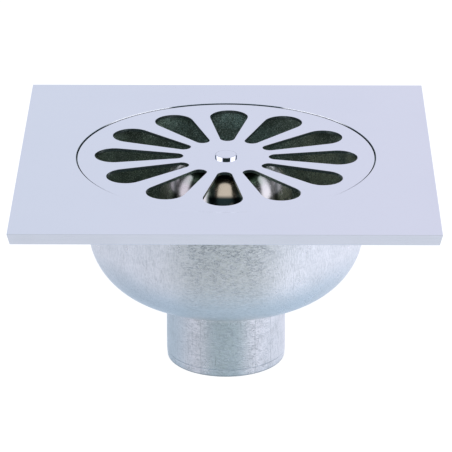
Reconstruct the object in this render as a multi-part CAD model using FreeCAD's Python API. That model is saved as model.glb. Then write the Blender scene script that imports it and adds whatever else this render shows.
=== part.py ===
import FreeCAD
import Part

import math
import os

# Square floor drain with a bell trap. Sizes are in millimetres and degrees.
# The drain's axis is Z, with +Z up. Levels are worked out downwards from the top of the flange at zero,
# and the finished pieces are lifted so that the end of the outlet stands at zero.

# Flange
flange_width = 150.0
flange_thickness = 4.2
flange_edge_inset = 0.95  # casting draft: the lower edge stands in from the upper one on each side
flange_edge_break = 0.2

# Grate and its seat in the flange
grate_thickness = 1.2
grate_drop = 0.3  # the grate lies this far below the top of the flange
grate_turn = -1.2  # the loose grate lies a little turned in its seat
seat_clearance = 0.4  # radial gap round the grate
seat_ledge = 5.9  # width of the ring that the grate rests on

# Slots: each is the outline round a small circle near the hub and a large one near the rim
slot_count = 12
slot_inner_end = 15.6  # distance from the axis to the slots' inner ends
slot_inner_radius = 2.7
slot_outer_radius = 7.1
slot_margin = 0.25  # between the slots' outer ends and the edge of the seat's ledge

# Rivet that holds the bell cup under the grate
rivet_head_radius = 4.0
rivet_head_height = 0.9
rivet_shank_radius = 2.0
rivet_hole_clearance = 0.1
rivet_tail_radius = 3.4
rivet_tail_height = 1.4

# Bell cup: a flat top with a boss, a rounded shoulder and a straight skirt
bell_wall = 1.2
bell_boss_radius = 5.0  # the boss lies against the grate's hub
bell_boss_height = 1.5
bell_shoulder_radius = 13.0  # outside
bell_shoulder_flats = 3  # corners of the flats that stand for the shoulder's arc
bell_passage = 23.9  # radial gap between the cup and the bowl
bell_height = 42.8  # from the grate's underside to the rim
bell_rim_gap = 8.0  # between the cup's rim and the floor of the bowl

# Bowl: a straight wall, a knuckle and a shallow crown that run smoothly into each other
bowl_radius = 48.2  # inside
bowl_wall = 2.5
bowl_knuckle_radius = 25.2  # outside
bowl_crown_radius = 78.3  # outside

# Outlet: the spigot below the bowl, and the narrower standpipe in it that holds the water back
outlet_bore_radius = 18.5
spigot_wall = 3.5
spigot_length = 20.1  # below the lowest point of the bowl's crown
standpipe_bore_radius = 15.0
standpipe_wall = 2.0
water_seal = 20.0  # from the cup's rim up to the standpipe's rim

# Levels and radii that follow from the sizes above
grate_top = -grate_drop
seat_floor = grate_top - grate_thickness
flange_underside = -flange_thickness
rivet_hole_radius = rivet_shank_radius + rivet_hole_clearance
grate_radius = bowl_radius + seat_ledge

bell_radius = bowl_radius - bell_passage
bell_top = seat_floor - bell_boss_height
bell_inner_top = bell_top - bell_wall
bell_rim = seat_floor - bell_height
shoulder_offset = bell_radius - bell_shoulder_radius  # from the axis to the shoulder's centre
shoulder_centre = bell_top - bell_shoulder_radius

knuckle_inner_radius = bowl_knuckle_radius - bowl_wall
crown_inner_radius = bowl_crown_radius - bowl_wall
knuckle_offset = bowl_radius - knuckle_inner_radius  # from the axis to the knuckle's centre
crown_centre = bell_rim - bell_rim_gap + math.sqrt(crown_inner_radius ** 2 - bell_radius ** 2)
knuckle_centre = crown_centre - math.sqrt((bowl_crown_radius - bowl_knuckle_radius) ** 2 - knuckle_offset ** 2)
outlet_end = crown_centre - bowl_crown_radius - spigot_length
spigot_radius = outlet_bore_radius + spigot_wall
standpipe_radius = standpipe_bore_radius + standpipe_wall
bore_end = outlet_end + spigot_length
standpipe_rim = bell_rim + water_seal

axis = FreeCAD.Vector(0, 0, 1)
origin = FreeCAD.Vector(0, 0, 0)


def point(radius, level):
    """A point of a turned section, at a radius from the axis and a level."""
    return FreeCAD.Vector(radius, 0, level)


def line(start, end):
    return Part.LineSegment(start, end).toShape()


def round_point(centre, radius, angle):
    """The point of a section's circle at an angle above the horizontal."""
    return centre + point(radius * math.cos(math.radians(angle)), radius * math.sin(math.radians(angle)))


def arc(centre, radius, start_angle, end_angle):
    angles = (start_angle, (start_angle + end_angle) / 2, end_angle)
    return Part.Arc(*[round_point(centre, radius, angle) for angle in angles]).toShape()


def flats(centre, radius, start_angle, end_angle, count):
    """Corners of the flats that touch an arc and run on straight at both its ends."""
    step = (end_angle - start_angle) / count
    corner_radius = radius / math.cos(math.radians(step / 2))
    return [round_point(centre, corner_radius, start_angle + step * (index + 0.5)) for index in range(count)]


def polyline(points):
    return [line(start, end) for start, end in zip(points, points[1:])]


def turned(edges):
    """A closed section, turned about the axis."""
    return Part.Face(Part.Wire(edges)).revolve(origin, axis, 360)


def cylinder(radius, bottom, top):
    return Part.makeCylinder(radius, top - bottom, FreeCAD.Vector(0, 0, bottom))


def crown_angle(crown_radius, radius):
    """Angle at which the crown's circle reaches a radius from the axis."""
    return -math.degrees(math.acos(radius / crown_radius))


def bowl_and_outlet():
    """The round part of the casting: bowl, spigot and standpipe as one turned section."""
    crown = point(0, crown_centre)
    knuckle = point(knuckle_offset, knuckle_centre)
    blend_angle = math.degrees(math.atan2(knuckle_centre - crown_centre, knuckle_offset))
    spigot_angle = crown_angle(bowl_crown_radius, spigot_radius)
    standpipe_angle = crown_angle(crown_inner_radius, standpipe_radius)
    spigot = polyline([
        point(outlet_bore_radius, outlet_end),
        point(spigot_radius, outlet_end),
        round_point(crown, bowl_crown_radius, spigot_angle)])
    outside = [
        arc(crown, bowl_crown_radius, spigot_angle, blend_angle),
        arc(knuckle, bowl_knuckle_radius, blend_angle, 0)]
    outer_radius = bowl_radius + bowl_wall
    wall = polyline([
        point(outer_radius, knuckle_centre),
        point(outer_radius, seat_floor),
        point(bowl_radius, seat_floor)])
    # Inside, one sloping flat that touches the knuckle's arc halfway runs from the wall to the crown
    cavity = polyline([
        point(bowl_radius, seat_floor),
        *flats(knuckle, knuckle_inner_radius, 0, blend_angle, 2),
        round_point(crown, crown_inner_radius, standpipe_angle)])
    standpipe = polyline([
        round_point(crown, crown_inner_radius, standpipe_angle),
        point(standpipe_radius, standpipe_rim),
        point(standpipe_bore_radius, standpipe_rim),
        point(standpipe_bore_radius, bore_end),
        point(outlet_bore_radius, bore_end),
        point(outlet_bore_radius, outlet_end)])
    return turned(spigot + outside + wall + cavity + standpipe)


def flange():
    """The square plate, with drafted sides, the grate's seat and the bowl's mouth cut through it."""
    upper = flange_width / 2
    lower = upper - flange_edge_inset
    # A wedge tapers along Y, so the plate is made on its side and then turned up
    plate = Part.makeWedge(-lower, -flange_thickness, -lower, -upper, -upper, lower, 0, lower, upper, upper)
    plate.rotate(origin, FreeCAD.Vector(1, 0, 0), 90)
    top_edges = [edge for edge in plate.Edges if edge.BoundBox.ZMin > -flange_edge_break]
    plate = plate.makeChamfer(flange_edge_break, top_edges)
    seat = cylinder(grate_radius + seat_clearance, seat_floor, 0)
    mouth = cylinder(bowl_radius, flange_underside, 0)
    return plate.cut(seat).cut(mouth)


def drain_body():
    """One casting: flange, bowl, spigot and standpipe."""
    return flange().fuse(bowl_and_outlet()).removeSplitter()


def slot():
    """One tapered slot along +X: two round ends, joined by the lines that touch both."""
    inner = slot_inner_end + slot_inner_radius
    outer = bowl_radius - slot_margin - slot_outer_radius
    taper = math.asin((slot_outer_radius - slot_inner_radius) / (outer - inner))
    touch_x = -math.sin(taper)
    touch_y = math.cos(taper)

    def side(centre, radius, sign):
        return FreeCAD.Vector(centre + radius * touch_x, sign * radius * touch_y, seat_floor)

    inner_tip = FreeCAD.Vector(inner - slot_inner_radius, 0, seat_floor)
    outer_tip = FreeCAD.Vector(outer + slot_outer_radius, 0, seat_floor)
    outline = Part.Wire([
        Part.Arc(side(inner, slot_inner_radius, 1), inner_tip, side(inner, slot_inner_radius, -1)).toShape(),
        line(side(inner, slot_inner_radius, -1), side(outer, slot_outer_radius, -1)),
        Part.Arc(side(outer, slot_outer_radius, -1), outer_tip, side(outer, slot_outer_radius, 1)).toShape(),
        line(side(outer, slot_outer_radius, 1), side(inner, slot_inner_radius, 1))])
    return Part.Face(outline).extrude(axis * grate_thickness)


def grate():
    """Thin round disc with a ring of slots like petals and a hole for the rivet."""
    disc = cylinder(grate_radius, seat_floor, grate_top)
    one_slot = slot()
    slots = []
    for index in range(slot_count):
        petal = one_slot.copy()
        petal.rotate(origin, axis, grate_turn + index * 360 / slot_count)
        slots.append(petal)
    disc = disc.cut(slots)
    return disc.cut(cylinder(rivet_hole_radius, seat_floor, grate_top))


def bell_cup():
    """Cup with its open side down: a flat top with a boss, a rounded shoulder and a skirt, of one thickness."""
    shoulder = point(shoulder_offset, shoulder_centre)
    outer, inner = [
        flats(shoulder, radius, 90, 0, bell_shoulder_flats)
        for radius in (bell_shoulder_radius, bell_shoulder_radius - bell_wall)]
    return turned(polyline([
        point(rivet_hole_radius, seat_floor),
        point(bell_boss_radius, seat_floor),
        point(bell_boss_radius, bell_top),
        *outer,
        point(bell_radius, bell_rim),
        point(bell_radius - bell_wall, bell_rim),
        *reversed(inner),
        point(rivet_hole_radius, bell_inner_top),
        point(rivet_hole_radius, seat_floor)]))


def rivet():
    """Flat round head above the grate, shank through grate and cup, and a closed tail."""
    head_top = grate_top + rivet_head_height
    tail_bottom = bell_inner_top - rivet_tail_height
    return turned(polyline([
        point(0, tail_bottom),
        point(0, head_top),
        point(rivet_head_radius, head_top),
        point(rivet_head_radius, grate_top),
        point(rivet_shank_radius, grate_top),
        point(rivet_shank_radius, bell_inner_top),
        point(rivet_tail_radius, bell_inner_top),
        point(rivet_tail_radius, tail_bottom),
        point(0, tail_bottom)]))


pieces = {
    "drain_body": drain_body(),
    "grate": grate(),
    "bell_cup": bell_cup(),
    "rivet": rivet(),
}

os.makedirs("parts", exist_ok=True)
for name, shape in pieces.items():
    shape.translate(axis * -outlet_end)
    shape.exportStep(os.path.join("parts", name + ".step"))
    print(name, "solids", len(shape.Solids), "valid", shape.isValid(), "volume", round(shape.Volume, 1))
print("flange top at", round(-outlet_end, 3), "grate radius", round(grate_radius, 3))
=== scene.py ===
"""Square floor drain with a bell trap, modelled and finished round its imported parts.

Lengths are in metres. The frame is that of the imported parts: +Z up along the drain's axis, with the end of
the outlet at zero, +X to the right and +Y to the back.
"""

import logging
import math
from dataclasses import dataclass, field
from enum import Enum
from functools import cached_property
from typing import Callable, Iterable, Optional, Sequence, Union

import bmesh
import bpy
from mathutils import Matrix, Vector


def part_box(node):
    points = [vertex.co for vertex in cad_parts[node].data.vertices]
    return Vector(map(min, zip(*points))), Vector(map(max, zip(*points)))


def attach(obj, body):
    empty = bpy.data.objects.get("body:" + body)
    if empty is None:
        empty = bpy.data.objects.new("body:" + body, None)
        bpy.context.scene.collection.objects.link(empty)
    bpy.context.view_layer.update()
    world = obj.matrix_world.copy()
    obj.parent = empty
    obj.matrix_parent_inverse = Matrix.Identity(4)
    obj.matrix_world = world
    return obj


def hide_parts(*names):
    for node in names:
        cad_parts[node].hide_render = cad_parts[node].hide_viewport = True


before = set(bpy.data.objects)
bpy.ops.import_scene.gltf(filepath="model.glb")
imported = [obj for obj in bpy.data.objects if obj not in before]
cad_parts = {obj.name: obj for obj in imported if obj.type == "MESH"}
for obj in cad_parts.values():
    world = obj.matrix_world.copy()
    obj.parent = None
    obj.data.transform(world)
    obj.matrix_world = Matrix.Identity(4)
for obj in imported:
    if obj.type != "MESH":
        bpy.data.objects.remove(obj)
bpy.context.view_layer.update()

MM = 0.001
BODY_NAME = "root"
AXIS = Vector((0.0, 0.0, 1.0))
ORIGIN = (0.0, 0.0, 0.0)
FULL_TURN = 2.0 * math.pi
QUARTER_TURN = math.pi / 2.0
JOIN_DISTANCE = 1e-7
SMOOTH_ANGLE = math.radians(20.0)
CORNER_ANGLE = math.radians(30.0)
RIM_ANGLE = math.radians(60.0)
FLAT_NORMAL = 0.9999
NOISE_MIDDLE = 0.5

Triple = tuple[float, float, float]
Colour = Triple
Point = tuple[float, float]
Socket = bpy.types.NodeSocket
Feed = Union[Socket, float, Sequence[float]]
Feeds = dict[str, Feed]
Mesh = bmesh.types.BMesh
Face = bmesh.types.BMFace
Edge = bmesh.types.BMEdge
Corner = bmesh.types.BMVert

WHITE: Colour = (1.0, 1.0, 1.0)

log = logging.getLogger("floor_drain")


class Surface(Enum):
    """The kinds of surface that the drain's pieces show."""

    MIRROR = "mirror_plating"
    EDGE = "dressed_edge"
    CUT = "sheared_edge"
    LIP = "seat_lip"
    CAST = "plated_casting"
    RAW = "raw_casting"
    BELL = "bell_polish"


@dataclass(frozen=True)
class Span:
    """A span of numbers and what it turns into.

    Below its low end it gives at_low and above its high end at_high. In between it eases over, or runs
    straight where smooth is off.
    """

    low: float
    high: float
    at_low: float = 0.0
    at_high: float = 1.0
    smooth: bool = True


Spans = tuple[Span, ...]
Surfaces = tuple[Surface, ...]


def falling(low: float, high: float) -> Span:
    """A span that falls from 1 to 0."""
    return Span(low, high, 1.0, 0.0)


@dataclass(frozen=True)
class Pattern:
    """One kind of cloudy noise.

    Its size is the width of its lumps in metres, detail the number of finer layers and rough their strength.
    Its run scales the coordinates along X, Y and Z, so that a small factor draws the lumps out that way, and
    its turn is about X, Y and Z in radians. Its share is the span that its numbers go through, if any.
    """

    size: float
    detail: float = 2.0
    rough: float = 0.5
    run: Optional[Triple] = None
    turn: Triple = (0.0, 0.0, 0.0)
    share: Optional[Span] = None


class ShaderBench:
    """Lays out the nodes of one material or world and joins them up."""

    def __init__(self, tree: bpy.types.NodeTree) -> None:
        """Empties the tree to be filled."""
        self.tree = tree
        tree.nodes.clear()

    def add(self, kind: str, feeds: Optional[Feeds] = None, **settings: object) -> bpy.types.Node:
        """Adds one node.

        Args:
            kind: Blender's name for the node.
            feeds: What each named input gets, a socket or a plain value.
            settings: The node's own properties.

        Returns:
            The new node.
        """
        node = self.tree.nodes.new(kind)
        for name, value in settings.items():
            setattr(node, name, value)
        for name, value in (feeds or {}).items():
            self.feed(node.inputs[name], value)
        return node

    def feed(self, target: Socket, value: Feed) -> None:
        """Links a socket to an input, or sets the input's plain value.

        Args:
            target: The input.
            value: A socket, a number or a sequence of numbers.
        """
        if isinstance(value, Socket):
            self.tree.links.new(value, target)
            return
        if target.type == "RGBA" and len(value) == 3:
            value = (*value, 1.0)
        target.default_value = value

    @cached_property
    def place(self) -> Socket:
        """The Object coordinates of the surface, in metres."""
        return self.add("ShaderNodeTexCoord").outputs["Object"]

    @cached_property
    def coordinates(self) -> tuple[Socket, ...]:
        """How far the surface lies to the right, to the back and up."""
        return self.parts(self.place)

    @cached_property
    def beside(self) -> Socket:
        """How far the surface lies from the middle, to either side."""
        return self.calc("ABSOLUTE", self.coordinates[0])

    def direction(self) -> Socket:
        """The direction that a ray takes out into the world."""
        return self.add("ShaderNodeTexCoord").outputs["Generated"]

    def parts(self, vector: Feed) -> tuple[Socket, ...]:
        """The X, Y and Z of a vector."""
        return tuple(self.add("ShaderNodeSeparateXYZ", {"Vector": vector}).outputs)

    def calc(self, operation: str, first: Feed, *rest: Feed) -> Socket:
        """One sum, carried on over all the numbers given.

        Args:
            operation: Blender's name for the sum, such as MULTIPLY.
            first: The first number.
            rest: The numbers that follow, none for a sum of one number.

        Returns:
            The result's socket.
        """
        result = first
        for number in rest or (0.0,):
            node = self.add("ShaderNodeMath", operation=operation)
            self.feed(node.inputs[0], result)
            self.feed(node.inputs[1], number)
            result = node.outputs[0]
        return result

    def off(self, value: Feed, middle: float) -> Socket:
        """How far a number is from another, to either side."""
        return self.calc("ABSOLUTE", self.calc("SUBTRACT", value, middle))

    def distance(self, first: Feed, second: Feed) -> Socket:
        """The length of the long side over two short sides that stand square."""
        squares = [self.calc("MULTIPLY", side, side) for side in (first, second)]
        return self.calc("SQRT", self.calc("ADD", *squares))

    def noise(self, pattern: Pattern) -> Socket:
        """Cloudy noise.

        Args:
            pattern: The kind of noise.

        Returns:
            A number from 0 to 1, or what the pattern's share makes of it.
        """
        place = self.place
        if pattern.run is not None:
            place = self.add("ShaderNodeMapping", {
                "Vector": place, "Scale": pattern.run, "Rotation": pattern.turn}).outputs[0]
        clouds = self.add("ShaderNodeTexNoise", {
            "Vector": place, "Scale": 1.0 / pattern.size, "Detail": pattern.detail,
            "Roughness": pattern.rough}).outputs[0]
        return clouds if pattern.share is None else self.span(clouds, pattern.share)

    def veins(self, pattern: Pattern, width: Span) -> Socket:
        """Thin lines where noise crosses its middle: 1 on a line and 0 off it."""
        return self.span(self.off(self.noise(pattern), NOISE_MIDDLE), width)

    def cells(self, size: float) -> Socket:
        """Distance from the centres of cells of one size, in shares of a cell."""
        cells = self.add("ShaderNodeTexVoronoi", {"Vector": self.place, "Scale": 1.0 / size})
        return cells.outputs["Distance"]

    def span(self, value: Feed, *spans: Span) -> Socket:
        """Puts a number through a span, or through several whose results are multiplied.

        Args:
            value: The number.
            spans: The spans.

        Returns:
            The result's socket.
        """
        results = [
            self.add("ShaderNodeMapRange", {
                "Value": value, "From Min": span.low, "From Max": span.high, "To Min": span.at_low,
                "To Max": span.at_high}, interpolation_type="SMOOTHSTEP" if span.smooth else "LINEAR"
            ).outputs["Result"] for span in spans]
        return results[0] if len(results) == 1 else self.calc("MULTIPLY", *results)

    def blend(self, share: Feed, first: Feed, second: Feed, mode: str = "MIX") -> Socket:
        """Mixes two colours.

        Args:
            share: How much of the second colour is used.
            first: The first colour.
            second: The second colour.
            mode: Blender's name for the way of mixing.

        Returns:
            The colour's socket.
        """
        # A Mix node's colours are its inputs 6 and 7 and its output 2
        node = self.add("ShaderNodeMix", data_type="RGBA", blend_type=mode)
        self.feed(node.inputs[0], share)
        self.feed(node.inputs[6], first)
        self.feed(node.inputs[7], second)
        return node.outputs[2]

    def relief(self, height: Feed, depth: float, over: Optional[Socket] = None) -> Socket:
        """Fine relief as a bump.

        Args:
            height: The height, from 0 to 1.
            depth: How deep the relief is, in metres.
            over: The relief that it lies on.

        Returns:
            The normal's socket.
        """
        feeds: Feeds = {"Height": height, "Distance": depth}
        if over is not None:
            feeds["Normal"] = over
        return self.add("ShaderNodeBump", feeds).outputs[0]


class Coating:
    """A finish that makes one metal material.

    Its spans in millimetres are places on the piece, and the others turn noise into a share.
    """

    surface: Surface

    def make(self) -> bpy.types.Material:
        """Builds the material.

        Returns:
            The new material.
        """
        material = bpy.data.materials.new(self.surface.value)
        material.use_nodes = True
        bench = ShaderBench(material.node_tree)
        shader = bench.add("ShaderNodeBsdfPrincipled", {"Metallic": 1.0, **self.dress(bench)})
        bench.add("ShaderNodeOutputMaterial", {"Surface": shader.outputs[0]})
        return material

    def dress(self, bench: ShaderBench) -> Feeds:
        """Lays out the finish's colour, roughness and relief.

        Args:
            bench: The material's nodes.

        Returns:
            What each of the metal shader's inputs gets.
        """
        raise NotImplementedError


@dataclass(frozen=True)
class MirrorPlating(Coating):
    """Bright plating, buffed to a mirror: flange, grate and rivet."""

    surface: Surface = Surface.MIRROR
    # Painted light: the plate runs from a darker left to a lighter, pinker right, standing for the drift of
    # its reflection.
    left_shade_tint: Colour = (0.735, 0.755, 0.800)
    right_light_tint: Colour = (0.782, 0.765, 0.822)
    drift: Span = Span(-70.0 * MM, 70.0 * MM, smooth=False)
    clouds: Pattern = Pattern(45.0 * MM, 3.0, share=Span(0.35, 0.7))
    cloud_tint: Colour = (0.988, 0.990, 0.993)
    head_level: float = 79.4 * MM
    head_rim: Span = Span(3.3 * MM, 3.7 * MM)
    rivet_rim_shade_tint: Colour = (0.84, 0.84, 0.86)
    scratches: Pattern = Pattern(0.6 * MM, 4.0, 0.6, run=(1.0, 0.06, 1.0), turn=(0.0, 0.0, 0.5))
    scratch_depth: float = 0.0006 * MM
    dullness: Span = Span(0.45, 0.8, 0.035, 0.065)

    def dress(self, bench: ShaderBench) -> Feeds:
        """The plate's colour with a painted drift of light from left to right, a painted dark ring on the
        rivet's head and the faint marks of buffing.
        """
        across, ahead, level = bench.coordinates
        tint = bench.blend(bench.span(across, self.drift), self.left_shade_tint, self.right_light_tint)
        tint = bench.blend(bench.noise(self.clouds), tint, self.cloud_tint, "MULTIPLY")
        # Painted shade: a darker ring round the rim of the rivet's head, standing for a dark reflected line.
        head = bench.calc("MULTIPLY", bench.span(bench.distance(across, ahead), self.head_rim),
                          bench.calc("GREATER_THAN", level, self.head_level))
        scratches = bench.noise(self.scratches)
        return {
            "Base Color": bench.blend(head, tint, self.rivet_rim_shade_tint, "MULTIPLY"),
            "Roughness": bench.span(scratches, self.dullness),
            "Normal": bench.relief(scratches, self.scratch_depth),
        }


@dataclass(frozen=True)
class DressedEdge(Coating):
    """The flange's sides: plated over file marks that run along them."""

    surface: Surface = Surface.EDGE
    light_tint: Colour = (0.910, 0.900, 0.945)
    dull_tint: Colour = (0.880, 0.872, 0.913)
    blotches: Pattern = Pattern(14.0 * MM, 4.0, 0.55, share=Span(0.4, 0.75))
    marks: Pattern = Pattern(1.2 * MM, 3.0, 0.6, run=(0.06, 0.06, 2.0))
    mark_depth: float = 0.003 * MM
    dullness: Span = Span(0.3, 0.7, 0.15, 0.23)

    def dress(self, bench: ShaderBench) -> Feeds:
        """Blotches and file marks."""
        marks = bench.noise(self.marks)
        return {
            "Base Color": bench.blend(bench.noise(self.blotches), self.light_tint, self.dull_tint),
            "Roughness": bench.span(marks, self.dullness),
            "Normal": bench.relief(marks, self.mark_depth),
        }


@dataclass(frozen=True)
class ShearedEdge(Coating):
    """Thin plating over drag lines: slot walls, the grate's rim and underside, the seat below its lip. Their
    dark teal colour is painted shade for the dark hollows they face.
    """

    surface: Surface = Surface.CUT
    # Painted shade: a dark teal colour for the dark hollows these faces look into, with darker drag lines.
    tint: Colour = (0.22, 0.28, 0.27)
    dark_tint: Colour = (0.10, 0.14, 0.13)
    lines: Pattern = Pattern(0.35 * MM, 3.0, 0.6, run=(1.0, 1.0, 0.2))
    line_share: Span = Span(0.35, 0.7)
    line_depth: float = 0.02 * MM
    dullness: Span = Span(0.3, 0.7, 0.28, 0.48)

    def dress(self, bench: ShaderBench) -> Feeds:
        """Drag lines of the punch."""
        lines = bench.noise(self.lines)
        return {
            "Base Color": bench.blend(bench.span(lines, self.line_share), self.tint, self.dark_tint),
            "Roughness": bench.span(lines, self.dullness),
            "Normal": bench.relief(lines, self.line_depth),
        }


@dataclass(frozen=True)
class SeatLip(Coating):
    """Rounded lip of the seat: painted dark as shade, greyer at the front, with painted white highlights in
    four stretches.
    """

    surface: Surface = Surface.LIP
    dark_tint: Colour = (0.05, 0.085, 0.09)
    front_shade_tint: Colour = (0.50, 0.52, 0.56)
    highlight_tint: Colour = WHITE
    back: Span = Span(-22.0 * MM, -8.0 * MM)
    highlight_stretches: Spans = (Span(20.0 * MM, 22.5 * MM), falling(41.0 * MM, 47.0 * MM))
    marks: Pattern = Pattern(1.6 * MM, 3.0, share=Span(0.25, 0.5, 0.8, 1.0))
    dullness: Span = Span(0.0, 1.0, 0.10, 0.25)

    def dress(self, bench: ShaderBench) -> Feeds:
        """Painted shade, and the stretches of painted highlight broken up by noise."""
        ahead = bench.coordinates[1]
        # Painted shade: the lip is dark at the back and greyer towards the front.
        lip_shade = bench.blend(bench.span(ahead, self.back), self.front_shade_tint, self.dark_tint)
        # Painted highlight: near-white stretches on the lip at both sides, front and back.
        bright = bench.calc("MULTIPLY", bench.span(bench.beside, *self.highlight_stretches), bench.noise(self.marks))
        return {
            "Base Color": bench.blend(bright, lip_shade, self.highlight_tint),
            "Roughness": bench.span(bright, self.dullness),
        }


@dataclass(frozen=True)
class PlatedCasting(Coating):
    """Bowl and outlet outside: thin plating over a rough casting, crazed, scored and pitted."""

    surface: Surface = Surface.CAST
    tint: Colour = (0.800, 0.805, 0.815)
    dull_tint: Colour = (0.755, 0.765, 0.775)
    middle_tint: Colour = (1.01, 1.005, 0.98)
    side_light_tint: Colour = (1.06, 1.05, 1.045)
    right_light_tint: Colour = (1.04, 1.025, 1.02)
    outlet_tint: Colour = (1.0, 0.98, 0.975)
    outlet_middle_shade: Colour = (0.77, 0.855, 0.865)
    outlet_left_shade: Colour = (0.69, 0.79, 0.82)
    grain_tint: Colour = (0.885, 0.895, 0.895)
    crack_tint: Colour = (0.30, 0.33, 0.34)
    patches: Pattern = Pattern(11.0 * MM, 4.0, 0.55)
    patch_share: Span = Span(0.36, 0.7)
    dullness: Span = Span(0.3, 0.7, 0.27, 0.35)

    spigot: Span = falling(21.0 * MM, 24.0 * MM)
    outlet_sides: Span = Span(3.0 * MM, 11.0 * MM)
    outlet_left: Span = Span(-21.5 * MM, -11.0 * MM)
    bowl_sides: Span = Span(9.0 * MM, 24.0 * MM)
    bowl_right: Span = Span(24.0 * MM, 42.0 * MM)
    middle_share: Span = Span(9.0 * MM, 22.0 * MM, 1.0, 0.2)

    craze_lines: Pattern = Pattern(0.64 * MM, 3.0, 0.65, run=(0.30, 0.30, 1.0))
    craze_width: Span = falling(0.006, 0.040)
    craze_gaps: Pattern = Pattern(1.8 * MM, run=(0.8, 0.8, 1.2), share=Span(0.36, 0.54, 0.25, 1.0))
    craze_levels: Span = Span(30.0 * MM, 66.0 * MM, 0.15, 1.65)
    spigot_craze: float = 0.85
    score_lines: Pattern = Pattern(1.1 * MM, run=(1.0, 1.0, 0.07))
    score_width: Span = falling(0.0, 0.02)
    score_gaps: Pattern = Pattern(5.0 * MM, share=Span(0.41, 0.58))
    score_sides: Span = Span(8.0 * MM, 26.0 * MM, 0.2, 0.6)
    hairlines: tuple[float, ...] = (-9.1 * MM, 10.9 * MM, 16.4 * MM)
    hairline_width: Span = falling(0.0, 0.24 * MM)
    hairline_sway: Pattern = Pattern(4.0 * MM, run=(0.2, 0.2, 1.0))
    sway_reach: float = 1.0 * MM
    hairline_gaps: Pattern = Pattern(3.5 * MM, share=Span(0.38, 0.52, 0.35, 1.0))
    pit_size: float = 2.4 * MM
    pit_width: Span = falling(0.05, 0.15)
    pit_places: Pattern = Pattern(7.0 * MM, share=Span(0.56, 0.64))
    crack_share: float = 0.48
    crack_depth: float = 0.05 * MM

    level_grain: Pattern = Pattern(0.60 * MM, run=(0.45, 0.45, 1.6))
    tall_grain: Pattern = Pattern(0.60 * MM, run=(1.4, 1.4, 0.4))
    grain_share: Span = falling(0.40, 0.56)
    grain_depth: float = 0.20 * MM
    groove_level: float = 2.7 * MM
    groove: Span = Span(0.0, 0.35 * MM)
    groove_shade: Span = Span(0.0, 0.35 * MM, 0.22, 0.0)
    groove_depth: float = 0.16 * MM
    end_shade: Span = Span(0.25 * MM, 0.8 * MM, 0.8, 0.0)

    def middle(self, bench: ShaderBench) -> Socket:
        """Share of the casting's middle: 1 at the front and the back, and a little at the sides."""
        return bench.span(bench.beside, self.middle_share)

    def crazing(self, bench: ShaderBench) -> Socket:
        """Short wavy cracks that run level, mostly in the middle of the bowl: 0 off a crack."""
        level = bench.coordinates[2]
        cracks = bench.veins(self.craze_lines, self.craze_width)
        gaps = bench.noise(self.craze_gaps)
        spigot = bench.calc("MULTIPLY", bench.span(level, self.spigot), self.spigot_craze)
        height = bench.calc("MAXIMUM", bench.span(level, self.craze_levels), spigot)
        return bench.calc("MULTIPLY", cracks, gaps, self.middle(bench), height)

    def scores(self, bench: ShaderBench) -> Socket:
        """Fine upright lines on the spigot and, more faintly, towards the bowl's sides: 0 off a line."""
        level = bench.coordinates[2]
        lines = bench.veins(self.score_lines, self.score_width)
        gaps = bench.noise(self.score_gaps)
        sides = bench.span(bench.beside, self.score_sides)
        share = bench.calc("MAXIMUM", sides, bench.span(level, self.spigot))
        return bench.calc("MULTIPLY", lines, gaps, share)

    def outlet_hairlines(self, bench: ShaderBench) -> Socket:
        """Long upright cracks on the spigot: 1 on a crack and 0 off it."""
        across, _, level = bench.coordinates
        sway = bench.calc("SUBTRACT", bench.noise(self.hairline_sway), NOISE_MIDDLE)
        swayed = bench.calc("ADD", across, bench.calc("MULTIPLY", sway, self.sway_reach))
        cracks = [bench.span(bench.off(swayed, middle), self.hairline_width) for middle in self.hairlines]
        gaps = bench.noise(self.hairline_gaps)
        return bench.calc("MULTIPLY", bench.calc("MAXIMUM", *cracks), gaps, bench.span(level, self.spigot))

    def pits(self, bench: ShaderBench) -> Socket:
        """Small round holes here and there: 1 in a hole and 0 outside it."""
        holes = bench.span(bench.cells(self.pit_size), self.pit_width)
        return bench.calc("MULTIPLY", holes, bench.noise(self.pit_places))

    def shade(self, bench: ShaderBench) -> Socket:
        """Painted light and shade by place: the bowl lighter at its sides and right, the spigot darker in
        its middle and at its left.
        """
        across, _, level = bench.coordinates
        beside = bench.beside
        # Painted light: the bowl is lighter towards its sides and lighter still at the right.
        bowl = bench.blend(bench.span(beside, self.bowl_sides), self.middle_tint, self.side_light_tint)
        bowl = bench.blend(bench.span(across, self.bowl_right), bowl, self.right_light_tint, "MULTIPLY")
        # Painted shade: the spigot is darker and greener in its middle and at its left, and lighter at its
        # sides.
        outlet = bench.blend(bench.span(beside, self.outlet_sides), self.outlet_middle_shade, self.outlet_tint)
        outlet = bench.blend(bench.span(across, self.outlet_left), self.outlet_left_shade, outlet)
        return bench.blend(bench.span(level, self.spigot), bowl, outlet)

    def dress(self, bench: ShaderBench) -> Feeds:
        """Patches, painted light and shade by place, grain, all the cracks and pits, the groove near the
        outlet's end and painted shade in it and along the end.
        """
        level = bench.coordinates[2]
        patches = bench.noise(self.patches)
        grain = bench.blend(self.middle(bench), bench.noise(self.tall_grain), bench.noise(self.level_grain))
        marks = bench.calc("MAXIMUM", self.crazing(bench), self.scores(bench), self.pits(bench),
                           self.outlet_hairlines(bench))
        off_groove = bench.off(level, self.groove_level)
        # Painted shade in the groove and along the outlet's end, beside the darker cracks.
        dark = bench.calc("MAXIMUM", bench.calc("MULTIPLY", marks, self.crack_share),
                          bench.span(level, self.end_shade), bench.span(off_groove, self.groove_shade))
        base = bench.blend(bench.span(patches, self.patch_share), self.tint, self.dull_tint)
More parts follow.
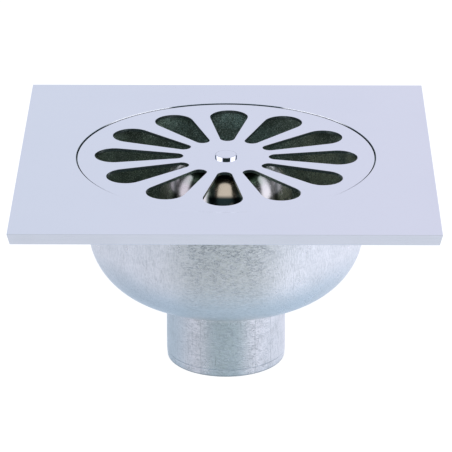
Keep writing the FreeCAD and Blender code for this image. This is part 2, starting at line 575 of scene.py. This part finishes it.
        # Painted light and shade by place, multiplied into the casting's colour.
        base = bench.blend(1.0, base, self.shade(bench), "MULTIPLY")
        base = bench.blend(bench.span(grain, self.grain_share), base, self.grain_tint, "MULTIPLY")
        grained = bench.relief(grain, self.grain_depth)
        cracked = bench.relief(bench.calc("SUBTRACT", 1.0, marks), self.crack_depth, grained)
        return {
            "Base Color": bench.blend(dark, base, self.crack_tint),
            "Roughness": bench.span(patches, self.dullness),
            "Normal": bench.relief(bench.span(off_groove, self.groove), self.groove_depth, cracked),
        }


@dataclass(frozen=True)
class RawCasting(Coating):
    """Inside of the bowl: bare sand casting, dark and grainy."""

    surface: Surface = Surface.RAW
    tint: Colour = (0.255, 0.415, 0.36)
    warm_tint: Colour = (0.24, 0.33, 0.22)
    dark_tint: Colour = (0.10, 0.135, 0.10)
    speck_tint: Colour = (0.66, 0.78, 0.68)
    right_light_tint: Colour = (1.75, 1.40, 1.40)
    warm_sides: Span = Span(12.0 * MM, 32.0 * MM)
    right_light_side: Span = Span(10.0 * MM, 40.0 * MM)
    patches: Pattern = Pattern(9.0 * MM, 3.0, share=Span(0.3, 0.75))
    sand: Pattern = Pattern(0.42 * MM, 4.0, 0.7)
    grain_share: Span = Span(0.40, 0.56)
    speck_share: Span = Span(0.56, 0.66)
    sand_depth: float = 0.16 * MM
    metal: float = 0.35
    dullness: Span = Span(0.3, 0.7, 0.65, 0.40)

    def dress(self, bench: ShaderBench) -> Feeds:
        """The sand's grain, dark patches and painted light towards the right."""
        across = bench.coordinates[0]
        sand = bench.noise(self.sand)
        tint = bench.blend(bench.span(bench.beside, self.warm_sides), self.tint, self.warm_tint)
        # Painted light: the inside is lighter and warmer towards the right.
        tint = bench.blend(bench.span(across, self.right_light_side), tint, self.right_light_tint, "MULTIPLY")
        tint = bench.blend(bench.noise(self.patches), tint, self.dark_tint)
        grains = bench.blend(bench.span(sand, self.grain_share), self.dark_tint, tint)
        return {
            "Base Color": bench.blend(bench.span(sand, self.speck_share), grains, self.speck_tint),
            "Metallic": self.metal,
            "Roughness": bench.span(sand, self.dullness),
            "Normal": bench.relief(sand, self.sand_depth),
        }


@dataclass(frozen=True)
class BellPolish(Coating):
    """Bell cup: half polished, with faint rings from the lathe, and light and shade painted into its colour
    by place.
    """

    surface: Surface = Surface.BELL
    tint: Colour = (0.97, 0.90, 0.87)
    left_shade_tint: Colour = (0.80, 0.71, 0.70)
    warm_reflection_tint: Colour = (0.63, 0.51, 0.34)
    dull_tint: Colour = (0.42, 0.50, 0.39)
    dark_reflection_tint: Colour = (0.018, 0.031, 0.028)
    left_side: Span = Span(-12.0 * MM, -7.0 * MM)
    warm_middle: Span = Span(3.5 * MM, 4.6 * MM, 0.9, 0.0)
    past_warm_middle: Span = Span(3.5 * MM, 4.6 * MM)
    middle: Span = falling(5.6 * MM, 7.6 * MM)
    dull_sides: Span = Span(11.0 * MM, 14.0 * MM, 1.0, 0.3)
    streak: Spans = (Span(16.8 * MM, 18.2 * MM), Span(18.2 * MM, 20.6 * MM, 0.85, 0.0))
    foot: Span = falling(70.5 * MM, 71.9 * MM)
    top: Span = Span(72.4 * MM, 73.6 * MM)
    stains: Pattern = Pattern(4.5 * MM, 4.0, 0.6)
    dark_reflection_share: Span = Span(0.56, 0.74, 1.0, 0.85)
    rings: Pattern = Pattern(0.8 * MM, run=(0.05, 0.05, 1.0))
    ring_depth: float = 0.002 * MM
    dullness: Span = Span(0.3, 0.75, 0.20, 0.30)

    def dress(self, bench: ShaderBench) -> Feeds:
        """A painted warm middle, painted shade on the left and top, dark painted reflections broken by
        stains, and the lathe's rings.
        """
        across, _, level = bench.coordinates
        beside = bench.beside
        stains = bench.noise(self.stains)
        middle = bench.span(beside, self.middle)
        # Painted shade: the bell is darker and redder on its left.
        tint = bench.blend(bench.span(across, self.left_side), self.left_shade_tint, self.tint)
        # Painted reflection: a warm brass colour down the middle strip.
        tint = bench.blend(bench.span(beside, self.warm_middle), tint, self.warm_reflection_tint)
        # Painted shade: dull dark teal on the top away from the middle, and just beside the middle strip.
        top = bench.calc("MULTIPLY", bench.calc("SUBTRACT", 1.0, middle), bench.span(level, self.top),
                         bench.span(beside, self.dull_sides))
        beside_warm_middle = bench.calc("MULTIPLY", middle, bench.span(beside, self.past_warm_middle))
        tint = bench.blend(bench.calc("MAXIMUM", top, beside_warm_middle), tint, self.dull_tint)
        # Painted dark reflections: streaks at the sides and at the foot of the middle strip, broken up by
        # stains.
        foot = bench.calc("MULTIPLY", middle, bench.span(level, self.foot))
        dark_reflection = bench.calc("MAXIMUM", bench.span(beside, *self.streak), foot)
        dark_reflection = bench.calc("MULTIPLY", dark_reflection, bench.span(stains, self.dark_reflection_share))
        return {
            "Base Color": bench.blend(dark_reflection, tint, self.dark_reflection_tint),
            "Roughness": bench.span(stains, self.dullness),
            "Normal": bench.relief(bench.noise(self.rings), self.ring_depth),
        }


Materials = dict[Surface, bpy.types.Material]


def arc(centre: Point, radius: float, start: float, end: float, steps: int) -> list[Point]:
    """Points along an arc of a section.

    Args:
        centre: The arc's centre, as radius from the axis and level.
        radius: The arc's own radius.
        start: The angle where it starts, above the horizontal, in radians.
        end: The angle where it ends.
        steps: How many stretches it is divided into.

    Returns:
        The points, both ends included.
    """
    angles = [start + (end - start) * step / steps for step in range(steps + 1)]
    return [(centre[0] + radius * math.cos(a), centre[1] + radius * math.sin(a)) for a in angles]


def spun(section: Sequence[Point], segments: int) -> Mesh:
    """Turns a closed section about the axis.

    Args:
        section: The section's points, as radius from the axis and level.
        segments: How many steps the turn takes.

    Returns:
        A closed mesh.
    """
    mesh = bmesh.new()
    corners = [mesh.verts.new((radius, 0.0, level)) for radius, level in section]
    sides = [mesh.edges.new(pair) for pair in zip(corners, corners[1:] + corners[:1])]
    bmesh.ops.spin(mesh, geom=corners + sides, cent=ORIGIN, axis=AXIS, angle=FULL_TURN,
                   steps=segments, use_merge=True, use_duplicate=False)
    bmesh.ops.remove_doubles(mesh, verts=mesh.verts[:], dist=JOIN_DISTANCE)
    bmesh.ops.dissolve_degenerate(mesh, dist=JOIN_DISTANCE, edges=mesh.edges[:])
    bmesh.ops.recalc_face_normals(mesh, faces=mesh.faces[:])
    return mesh


def corner_edges(mesh: Mesh, least_angle: float, where: Callable[[Vector], bool]) -> list[Edge]:
    """The edges where two faces meet at an angle.

    Args:
        mesh: The mesh to look through.
        least_angle: The least angle between the faces' normals, in radians.
        where: Says of a point whether its edges are wanted.

    Returns:
        The edges with both ends in the wanted place.
    """
    return [edge for edge in mesh.edges
            if len(edge.link_faces) == 2 and edge.calc_face_angle() > least_angle
            and all(where(corner.co) for corner in edge.verts)]


def soften(mesh: Mesh, edges: Iterable[Edge], width: float, segments: int) -> None:
    """Rounds edges.

    Args:
        mesh: The mesh.
        edges: The edges to round.
        width: How far the rounding reaches from the edge.
        segments: How many stretches it has.
    """
    bmesh.ops.bevel(mesh, geom=list(edges), offset=width, offset_type="OFFSET", segments=segments,
                    profile=0.5, affect="EDGES", clamp_overlap=True, loop_slide=False, material=-1)


def reach(place: Vector) -> float:
    """A point's distance from the axis."""
    return math.hypot(place.x, place.y)


def side_reach(place: Vector) -> float:
    """A point's distance from the axis, square to the flange's nearest side."""
    return max(abs(place.x), abs(place.y))


@dataclass
class Piece:
    """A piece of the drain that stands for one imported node.

    The surfaces that it shows are in the order of its material slots.
    """

    node: str
    slot: str
    shown: Surfaces

    def shape(self) -> Mesh:
        """Models the piece."""
        raise NotImplementedError

    def surface_of(self, face: Face) -> Surface:
        """Says which of the piece's surfaces a face belongs to."""
        return self.shown[0]

    def is_flat(self, face: Face) -> bool:
        """Says whether a face lies in a plane of the piece."""
        return abs(face.normal.z) > FLAT_NORMAL

    def build(self, materials: Materials) -> None:
        """Makes the piece's object, dresses it and sets it in the node's place.

        Args:
            materials: The material for each surface.
        """
        shape = self.shape()
        shape.normal_update()
        for face in shape.faces:
            face.material_index = self.shown.index(self.surface_of(face))
        rounded = [not self.is_flat(face) for face in shape.faces]
        mesh = bpy.data.meshes.new(self.node + "_finish")
        shape.to_mesh(mesh)
        shape.free()
        for surface in self.shown:
            mesh.materials.append(materials[surface])
        mesh.set_sharp_from_angle(angle=SMOOTH_ANGLE)
        mesh.polygons.foreach_set("use_smooth", rounded)
        piece = bpy.data.objects.new(self.node + "_finish", mesh)
        bpy.context.scene.collection.objects.link(piece)
        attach(piece, BODY_NAME)
        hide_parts(self.node)
        log.info("%s: %d faces", piece.name, len(mesh.polygons))


@dataclass
class DrainBody(Piece):
    """The casting: square flange with a round seat, bowl, outlet spigot and standpipe."""

    node: str = "drain_body"
    slot: str = "plated_casting"
    shown: Surfaces = (Surface.CAST, Surface.MIRROR, Surface.EDGE, Surface.LIP, Surface.CUT, Surface.RAW)
    segments: int = 256
    crown_steps: int = 14
    knuckle_steps: int = 20
    flange_half: float = 74.97 * MM
    flange_thickness: float = 4.2 * MM
    flange_inset: float = 0.95 * MM
    flange_round: float = 0.12 * MM
    seat_radius: float = 54.5 * MM
    seat_depth: float = 1.5 * MM
    lip_depth: float = 0.45 * MM
    lip_round: float = 0.30 * MM
    lip_slope: float = 0.97
    ledge_round: float = 0.25 * MM
    bowl_radius: float = 48.2 * MM
    bowl_wall: float = 2.5 * MM
    bowl_fillet: float = 2.0 * MM
    knuckle_radius: float = 25.2 * MM
    crown_radius: float = 78.3 * MM
    bore_radius: float = 18.5 * MM
    bore_round: float = 0.3 * MM
    spigot_radius: float = 22.0 * MM
    spigot_length: float = 20.1 * MM
    spigot_round: float = 0.35 * MM
    band_length: float = 2.9 * MM
    band_taper: float = 0.25 * MM
    standpipe_bore: float = 15.0 * MM
    standpipe_radius: float = 17.0 * MM
    standpipe_rim: float = 54.6 * MM
    standpipe_round: float = 0.6 * MM
    standpipe_foot_round: float = 0.4 * MM
    wide_margin: float = 0.5 * MM
    side_margin: float = 0.3 * MM
    narrow_margin: float = 0.1 * MM
    seat_margin: float = 0.01 * MM
    least_side: float = 1.0 * MM * MM
    top: float = field(init=False)

    def __post_init__(self) -> None:
        """Takes the level of the flange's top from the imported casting."""
        self.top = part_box(self.node)[1].z

    def section(self) -> list[Point]:
        """The casting's section, with the flange as round as its sides are wide.

        Returns:
            The points, from the outlet's end up the outside and down the inside.
        """
        crown = (0.0, self.spigot_length + self.crown_radius)
        wall = self.bowl_radius + self.bowl_wall
        knuckle_offset = wall - self.knuckle_radius
        drop = math.sqrt((self.crown_radius - self.knuckle_radius) ** 2 - knuckle_offset ** 2)
        knuckle = (knuckle_offset, crown[1] - drop)
        blend = -math.atan2(drop, knuckle_offset)
        crown_inside = self.crown_radius - self.bowl_wall
        foot = -math.acos(self.spigot_radius / self.crown_radius)
        inner_foot = -math.acos(self.standpipe_radius / crown_inside)
        underside = self.top - self.flange_thickness
        seat = self.top - self.seat_depth
        outside = [(self.bore_radius, 0.0), (self.spigot_radius - self.band_taper, 0.0),
                   (self.spigot_radius, self.band_length)]
        outside += arc(crown, self.crown_radius, foot, blend, self.crown_steps)
        outside += arc(knuckle, self.knuckle_radius, blend, 0.0, self.knuckle_steps)[1:]
        flange = [(wall, underside), (self.flange_half - self.flange_inset, underside),
                  (self.flange_half, self.top), (self.seat_radius, self.top),
                  (self.seat_radius, self.top - self.lip_depth), (self.seat_radius, seat),
                  (self.bowl_radius, seat)]
        inside = arc(knuckle, self.knuckle_radius - self.bowl_wall, 0.0, blend, self.knuckle_steps)
        inside += arc(crown, crown_inside, blend, inner_foot, self.crown_steps)[1:]
        pipe = [(self.standpipe_radius, self.standpipe_rim), (self.standpipe_bore, self.standpipe_rim),
                (self.standpipe_bore, self.spigot_length), (self.bore_radius, self.spigot_length)]
        return outside + flange + inside + pipe

    def square_off(self, mesh: Mesh) -> None:
        """Draws the flange's round outline out to a square.

        Args:
            mesh: The spun casting.
        """
        inner = (self.seat_radius + self.flange_half) / 2.0
        for corner in mesh.verts:
            if reach(corner.co) > inner:
                stretch = reach(corner.co) / side_reach(corner.co)
                corner.co.x *= stretch
                corner.co.y *= stretch

    def rounds(self) -> list[tuple[float, float, float, int]]:
        """The section's corners to round: radius and level, and the rounding's width and segments."""
        wall = self.bowl_radius + self.bowl_wall
        return [
            (self.seat_radius, self.top, self.lip_round, 4),
            (self.bowl_radius, self.top - self.seat_depth, self.ledge_round, 2),
            (wall, self.top - self.flange_thickness, self.bowl_fillet, 5),
            (self.standpipe_radius, self.standpipe_rim, self.standpipe_round, 6),
            (self.standpipe_bore, self.standpipe_rim, self.standpipe_round, 6),
            (self.standpipe_bore, self.spigot_length, self.standpipe_foot_round, 2),
            (self.bore_radius, 0.0, self.bore_round, 2),
            (self.spigot_radius, 0.0, self.spigot_round, 3)]

    def near(self, radius: float, level: float) -> Callable[[Vector], bool]:
        """A test for points near one ring of the section."""
        return lambda place: max(abs(reach(place) - radius), abs(place.z - level)) < self.wide_margin

    def shape(self) -> Mesh:
        """Spins the section, squares the flange and rounds the casting's edges."""
        mesh = spun(self.section(), self.segments)
        self.square_off(mesh)
        inner = self.flange_half - 2.0 * self.flange_inset
        sides = corner_edges(mesh, CORNER_ANGLE, lambda place: side_reach(place) > inner)
        soften(mesh, sides, self.flange_round, segments=3)
        for radius, level, width, segments in self.rounds():
            soften(mesh, corner_edges(mesh, CORNER_ANGLE, self.near(radius, level)), width, segments)
        return mesh

    def surface_of(self, face: Face) -> Surface:
        """Plating on the flange's top, its sides and seat finished on their own, casting elsewhere."""
        place = face.calc_center_median()
        out = reach(place)
        side = self.flange_half - self.flange_inset - self.side_margin
        if side_reach(place) > side and place.z < self.top - self.narrow_margin:
            return Surface.EDGE
        if place.z > self.top - self.seat_depth - self.seat_margin and out > self.bowl_radius:
            if place.z < self.top - self.lip_depth:
                return Surface.CUT
            on_lip = face.normal.z < self.lip_slope and out < self.seat_radius + self.lip_round
            return Surface.LIP if on_lip else Surface.MIRROR
        away = face.normal.x * place.x + face.normal.y * place.y
        hollow = out < self.bowl_radius + self.wide_margin and place.z > self.spigot_length
        inward = away < 0.0 or out < self.standpipe_radius + self.wide_margin
        in_bore = out < self.bore_radius + self.narrow_margin
        return Surface.RAW if (hollow and inward) or in_bore else Surface.CAST

    def is_flat(self, face: Face) -> bool:
        """Level faces and the flange's four sides are flat."""
        side = self.flange_half - self.flange_inset - self.narrow_margin
        on_side = side_reach(face.calc_center_median()) > side and face.calc_area() > self.least_side
        return super().is_flat(face) or on_side


@dataclass
class Grate(Piece):
    """Thin round disc with a ring of tapered slots and a hole for the rivet."""

    node: str = "grate"
    slot: str = "polished_plate"
    shown: Surfaces = (Surface.MIRROR, Surface.CUT)
    segments: int = 288
    slot_count: int = 12
    slot_turn: float = math.radians(-1.2)
    slot_inner_centre: float = 18.3 * MM
    slot_inner_radius: float = 2.7 * MM
    slot_outer_centre: float = 40.85 * MM
    slot_outer_radius: float = 7.1 * MM
    slot_arc_steps: int = 22
    hole_radius: float = 2.1 * MM
    hole_segments: int = 48
    edge_round: float = 0.06 * MM
    dull_slope: float = 0.3

    def surface_of(self, face: Face) -> Surface:
        """The upright walls of the slots, the rim and the underside are left dull and painted dark as shade,
        all else is polished.
        """
        return Surface.CUT if face.normal.z < self.dull_slope else Surface.MIRROR

    def slot_outline(self, mesh: Mesh) -> list[Corner]:
        """Draws one slot's outline along +X: two arcs, joined by the lines that touch both.

        Args:
            mesh: The mesh to draw in.

        Returns:
            The outline's points, in order.
        """
        spread = self.slot_outer_centre - self.slot_inner_centre
        taper = math.asin((self.slot_outer_radius - self.slot_inner_radius) / spread)
        touch = QUARTER_TURN + taper
        outline: list[Corner] = []
        ends = ((self.slot_outer_centre, self.slot_outer_radius, touch, -2.0 * touch),
                (self.slot_inner_centre, self.slot_inner_radius, -touch, 2.0 * touch - FULL_TURN))
        for centre, radius, start, sweep in ends:
            first = mesh.verts.new((centre + radius * math.cos(start), radius * math.sin(start), 0.0))
            bmesh.ops.spin(mesh, geom=[first], cent=(centre, 0.0, 0.0), axis=AXIS, angle=sweep,
                           steps=self.slot_arc_steps)
            mesh.verts.ensure_lookup_table()
            outline += [first] + mesh.verts[-self.slot_arc_steps:]
        half = self.slot_arc_steps + 1
        mesh.edges.new((outline[half - 1], outline[half]))
        mesh.edges.new((outline[-1], outline[0]))
        return outline

    def shape(self) -> Mesh:
        """Draws the outlines, fills the sheet between them, thickens it and rounds its edges."""
        low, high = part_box(self.node)
        mesh = bmesh.new()
        first = self.slot_outline(mesh)
        turn = Matrix.Rotation(self.slot_turn, 3, AXIS)
        bmesh.ops.rotate(mesh, cent=ORIGIN, matrix=turn, verts=first)
        drawn = mesh.verts[:] + mesh.edges[:]
        for index in range(1, self.slot_count):
            copy = bmesh.ops.duplicate(mesh, geom=drawn)["geom"]
            points = [item for item in copy if isinstance(item, Corner)]
            step = Matrix.Rotation(FULL_TURN * index / self.slot_count, 3, AXIS)
            bmesh.ops.rotate(mesh, cent=ORIGIN, matrix=step, verts=points)
        bmesh.ops.create_circle(mesh, cap_ends=False, radius=high.x, segments=self.segments)
        bmesh.ops.create_circle(mesh, cap_ends=False, radius=self.hole_radius, segments=self.hole_segments)
        bmesh.ops.translate(mesh, vec=(0.0, 0.0, low.z), verts=mesh.verts[:])
        bmesh.ops.triangle_fill(mesh, use_beauty=True, use_dissolve=False, edges=mesh.edges[:], normal=AXIS)
        sheet = bmesh.ops.extrude_face_region(mesh, geom=mesh.faces[:])["geom"]
        raised = [item for item in sheet if isinstance(item, Corner)]
        bmesh.ops.translate(mesh, vec=(0.0, 0.0, high.z - low.z), verts=raised)
        bmesh.ops.recalc_face_normals(mesh, faces=mesh.faces[:])
        rims = corner_edges(mesh, RIM_ANGLE, lambda place: True)
        soften(mesh, rims, self.edge_round, segments=2)
        return mesh


@dataclass
class BellCup(Piece):
    """Cup with its open side down: flat top with a boss, rounded shoulder and straight skirt."""

    node: str = "bell_cup"
    slot: str = "bell_finish"
    shown: Surfaces = (Surface.BELL,)
    segments: int = 192
    shoulder_steps: int = 24
    wall: float = 1.2 * MM
    hole_radius: float = 2.1 * MM
    boss_radius: float = 5.0 * MM
    boss_height: float = 1.5 * MM
    shoulder_radius: float = 13.0 * MM
    rim_round: float = 0.35 * MM
    rim_margin: float = 0.1 * MM

    def shape(self) -> Mesh:
        """Spins the cup's section and rounds its rim."""
        low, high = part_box(self.node)
        top = high.z - self.boss_height
        centre = (high.x - self.shoulder_radius, top - self.shoulder_radius)
        inner_radius = self.shoulder_radius - self.wall
        outside = [(self.hole_radius, high.z), (self.boss_radius, high.z), (self.boss_radius, top)]
        outside += arc(centre, self.shoulder_radius, QUARTER_TURN, 0.0, self.shoulder_steps)
        rim = [(high.x, low.z), (high.x - self.wall, low.z)]
        inside = arc(centre, inner_radius, 0.0, QUARTER_TURN, self.shoulder_steps)
        inside.append((self.hole_radius, top - self.wall))
        mesh = spun(outside + rim + inside, self.segments)
        rims = corner_edges(mesh, CORNER_ANGLE, lambda place: place.z < low.z + self.rim_margin)
        soften(mesh, rims, self.rim_round, segments=2)
        return mesh


@dataclass
class Rivet(Piece):
    """Flat round head above the grate, shank and closed tail."""

    node: str = "rivet"
    slot: str = "polished_plate"
    shown: Surfaces = (Surface.MIRROR,)
    segments: int = 96
    head_height: float = 0.9 * MM
    tail_height: float = 1.4 * MM
    tail_radius: float = 3.4 * MM
    shank_radius: float = 2.0 * MM
    edge_round: float = 0.15 * MM

    def shape(self) -> Mesh:
        """Spins the rivet's section and rounds its head and tail."""
        low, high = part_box(self.node)
        under_head = high.z - self.head_height
        over_tail = low.z + self.tail_height
        tail = [(0.0, low.z), (self.tail_radius, low.z), (self.tail_radius, over_tail)]
        shank = [(self.shank_radius, over_tail), (self.shank_radius, under_head)]
        head = [(high.x, under_head), (high.x, high.z), (0.0, high.z)]
        mesh = spun(tail + shank + head, self.segments)
        inner = self.tail_radius - self.edge_round
        rims = corner_edges(mesh, RIM_ANGLE, lambda place: (
            abs(place.z - under_head) > self.edge_round and reach(place) > inner))
        soften(mesh, rims, self.edge_round, segments=3)
        return mesh


@dataclass
class PhotoCamera:
    """The camera, at the photograph's angle and distance."""

    azimuth: float = math.radians(0.354)
    elevation: float = math.radians(22.509)
    distance: float = 1.2002
    target_depth: float = 27.83 * MM
    focal_pixels: float = 3263.7
    image_width: int = 452
    sensor_width: float = 36.0
    clip_start: float = 0.05
    clip_end: float = 50.0

    def build(self, top: float) -> None:
        """Makes the camera and gives it to the scene.

        Args:
            top: The level of the flange's top.
        """
        back = Vector((math.sin(self.azimuth) * math.cos(self.elevation),
                       -math.cos(self.azimuth) * math.cos(self.elevation), math.sin(self.elevation)))
        data = bpy.data.cameras.new("photo_camera")
        data.sensor_width = self.sensor_width
        data.lens = self.focal_pixels / self.image_width * self.sensor_width
        data.clip_start = self.clip_start
        data.clip_end = self.clip_end
        camera = bpy.data.objects.new("photo_camera", data)
        camera.location = Vector((0.0, 0.0, top - self.target_depth)) + back * self.distance
        camera.rotation_mode = "QUATERNION"
        camera.rotation_quaternion = (-back).to_track_quat("-Z", "Y")
        bpy.context.scene.collection.objects.link(camera)
        bpy.context.scene.camera = camera


@dataclass
class Studio:
    """White tent round the drain on a white floor.

    The tent's dark openings and bright boxes show only in second reflections, such as those in the rivet's
    flank, so that the plate itself stays bright from every side. The spans are in parts of a ray's
    direction: across to the right, ahead to the back, up, and front, which is 1 towards the viewer.
    """

    wall_light: Colour = (0.75, 0.79, 0.91)
    ground_light: Colour = (0.415, 0.53, 0.665)
    sill_light: Colour = (0.33, 0.375, 0.38)
    gap_light: Colour = (0.10, 0.14, 0.19)
    opening_light: Colour = (0.020, 0.034, 0.031)
    overhead_light: Colour = (1.08, 1.08, 1.08)
    once_reflected: float = 2.5
    least_level: float = 0.001
    band: Spans = (Span(-0.03, 0.05), falling(0.60, 0.68))
    opening_half: float = math.radians(41.0)
    opening_blur: float = 0.05
    opening_shift: float = 0.10
    gaps: Spans = (Span(-0.97, -0.94), falling(-0.50, -0.40))
    ground: Span = falling(-0.80, -0.35)
    ground_back: Span = Span(-0.25, 0.25)
    nadir: Span = falling(-0.97, -0.72)
    sill_front: Span = Span(0.55, 1.0)
    sill_levels: Spans = (Span(-1.05, -0.38), falling(-0.10, 0.05))
    side_levels: Span = Span(-0.8, 0.8, 1.03, 1.32)
    overhead: Span = Span(0.0, 0.2)
    boxes: Spans = (Span(-0.85, -0.45, 1.60, 0.0), Span(0.45, 0.85, 0.0, 1.50))
    high_boxes: Spans = (Span(-0.95, -0.70, 0.10, 0.0), Span(0.70, 0.95, 0.0, 0.18))
    high_levels: Spans = (Span(0.0, 0.15), falling(0.60, 0.80))
    floor_radius: float = 6.0
    floor_segments: int = 64
    floor_paint: Colour = (0.20, 0.20, 0.20)
    floor_glow: float = 0.92

    def light_world(self) -> None:
        """Lights the scene from all round."""
        world = bpy.data.worlds.new("white_tent")
        world.use_nodes = True
        bench = ShaderBench(world.node_tree)
        across, ahead, up = bench.parts(bench.direction())
        level = bench.calc("MAXIMUM", bench.distance(across, ahead), self.least_level)
        front = bench.calc("DIVIDE", bench.calc("MULTIPLY", ahead, -1.0), level)
        path = bench.add("ShaderNodeLightPath")
        again = bench.calc("GREATER_THAN", path.outputs["Ray Depth"], self.once_reflected)
        band = bench.calc("MULTIPLY", bench.span(up, *self.band), again)

        under = bench.calc("MULTIPLY", bench.span(up, self.ground), bench.span(ahead, self.ground_back))
        under = bench.calc("MAXIMUM", under, bench.span(up, self.nadir))
        sill = bench.calc("MULTIPLY", bench.span(front, self.sill_front), bench.span(up, *self.sill_levels))
        lit = bench.blend(under, self.wall_light, self.ground_light)
        lit = bench.blend(sill, lit, self.sill_light)
        sides = bench.blend(bench.span(up, self.overhead), bench.span(across, self.side_levels),
                            self.overhead_light)
        lit = bench.blend(1.0, lit, sides, "MULTIPLY")

        boxes, high_boxes = (bench.calc("ADD", *[bench.span(across, box) for box in pair])
                             for pair in (self.boxes, self.high_boxes))
        boxes = bench.calc("MULTIPLY", boxes, band)
        high_boxes = bench.calc("MULTIPLY", high_boxes, bench.span(up, *self.high_levels))
        lit = bench.blend(1.0, lit, bench.calc("MAXIMUM", boxes, high_boxes), "ADD")

        gaps = bench.calc("MULTIPLY", bench.span(front, *self.gaps), band)
        lit = bench.blend(gaps, lit, self.gap_light)
        edge = math.cos(self.opening_half)
        shift = bench.calc("MULTIPLY", bench.calc("DIVIDE", across, level), self.opening_shift)
        opening = bench.span(bench.calc("ADD", front, shift),
                             Span(edge - self.opening_blur, edge + self.opening_blur))
        lit = bench.blend(bench.calc("MULTIPLY", opening, band), lit, self.opening_light)

        shown = bench.blend(path.outputs["Is Camera Ray"], lit, WHITE)
        background = bench.add("ShaderNodeBackground", {"Color": shown, "Strength": 1.0})
        bench.add("ShaderNodeOutputWorld", {"Surface": background.outputs[0]})
        bpy.context.scene.world = world

    def lay_floor(self) -> None:
        """Lays the floor that the outlet stands on."""
        shape = bmesh.new()
        bmesh.ops.create_circle(shape, cap_ends=True, radius=self.floor_radius, segments=self.floor_segments)
        mesh = bpy.data.meshes.new("floor")
        shape.to_mesh(mesh)
        shape.free()
        mesh.materials.append(self.floor_material())
        floor = bpy.data.objects.new("floor", mesh)
        bpy.context.scene.collection.objects.link(floor)

    def floor_material(self) -> bpy.types.Material:
        """White floor with the drain's soft shadow, which reflections look past to the tent.

        Returns:
            The material.
        """
        material = bpy.data.materials.new("white_floor")
        material.use_nodes = True
        bench = ShaderBench(material.node_tree)
        paint = bench.add("ShaderNodeBsdfDiffuse", {"Color": self.floor_paint})
        glow = bench.add("ShaderNodeEmission", {"Color": WHITE, "Strength": self.floor_glow})
        both = bench.add("ShaderNodeAddShader")
        bench.feed(both.inputs[0], paint.outputs[0])
        bench.feed(both.inputs[1], glow.outputs[0])
        clear = bench.add("ShaderNodeBsdfTransparent")
        path = bench.add("ShaderNodeLightPath")
        behind = bench.add("ShaderNodeNewGeometry").outputs["Backfacing"]
        passed = bench.calc("MAXIMUM", behind, path.outputs["Is Glossy Ray"],
                            path.outputs["Is Transmission Ray"])
        mixed = bench.add("ShaderNodeMixShader", {"Fac": passed})
        bench.feed(mixed.inputs[1], both.outputs[0])
        bench.feed(mixed.inputs[2], clear.outputs[0])
        bench.add("ShaderNodeOutputMaterial", {"Surface": mixed.outputs[0]})
        return material


def main() -> None:
    """Builds the drain's pieces, the studio and the camera."""
    logging.basicConfig(level=logging.INFO)
    bpy.context.scene.view_settings.view_transform = "Standard"
    coatings = (MirrorPlating(), DressedEdge(), ShearedEdge(), SeatLip(), PlatedCasting(), RawCasting(),
                BellPolish())
    materials = {coating.surface: coating.make() for coating in coatings}
    body = DrainBody()
    for piece in (body, Grate(), BellCup(), Rivet()):
        piece.build(materials)
    studio = Studio()
    studio.light_world()
    studio.lay_floor()
    PhotoCamera().build(body.top)


if __name__ == "__main__":
    main()
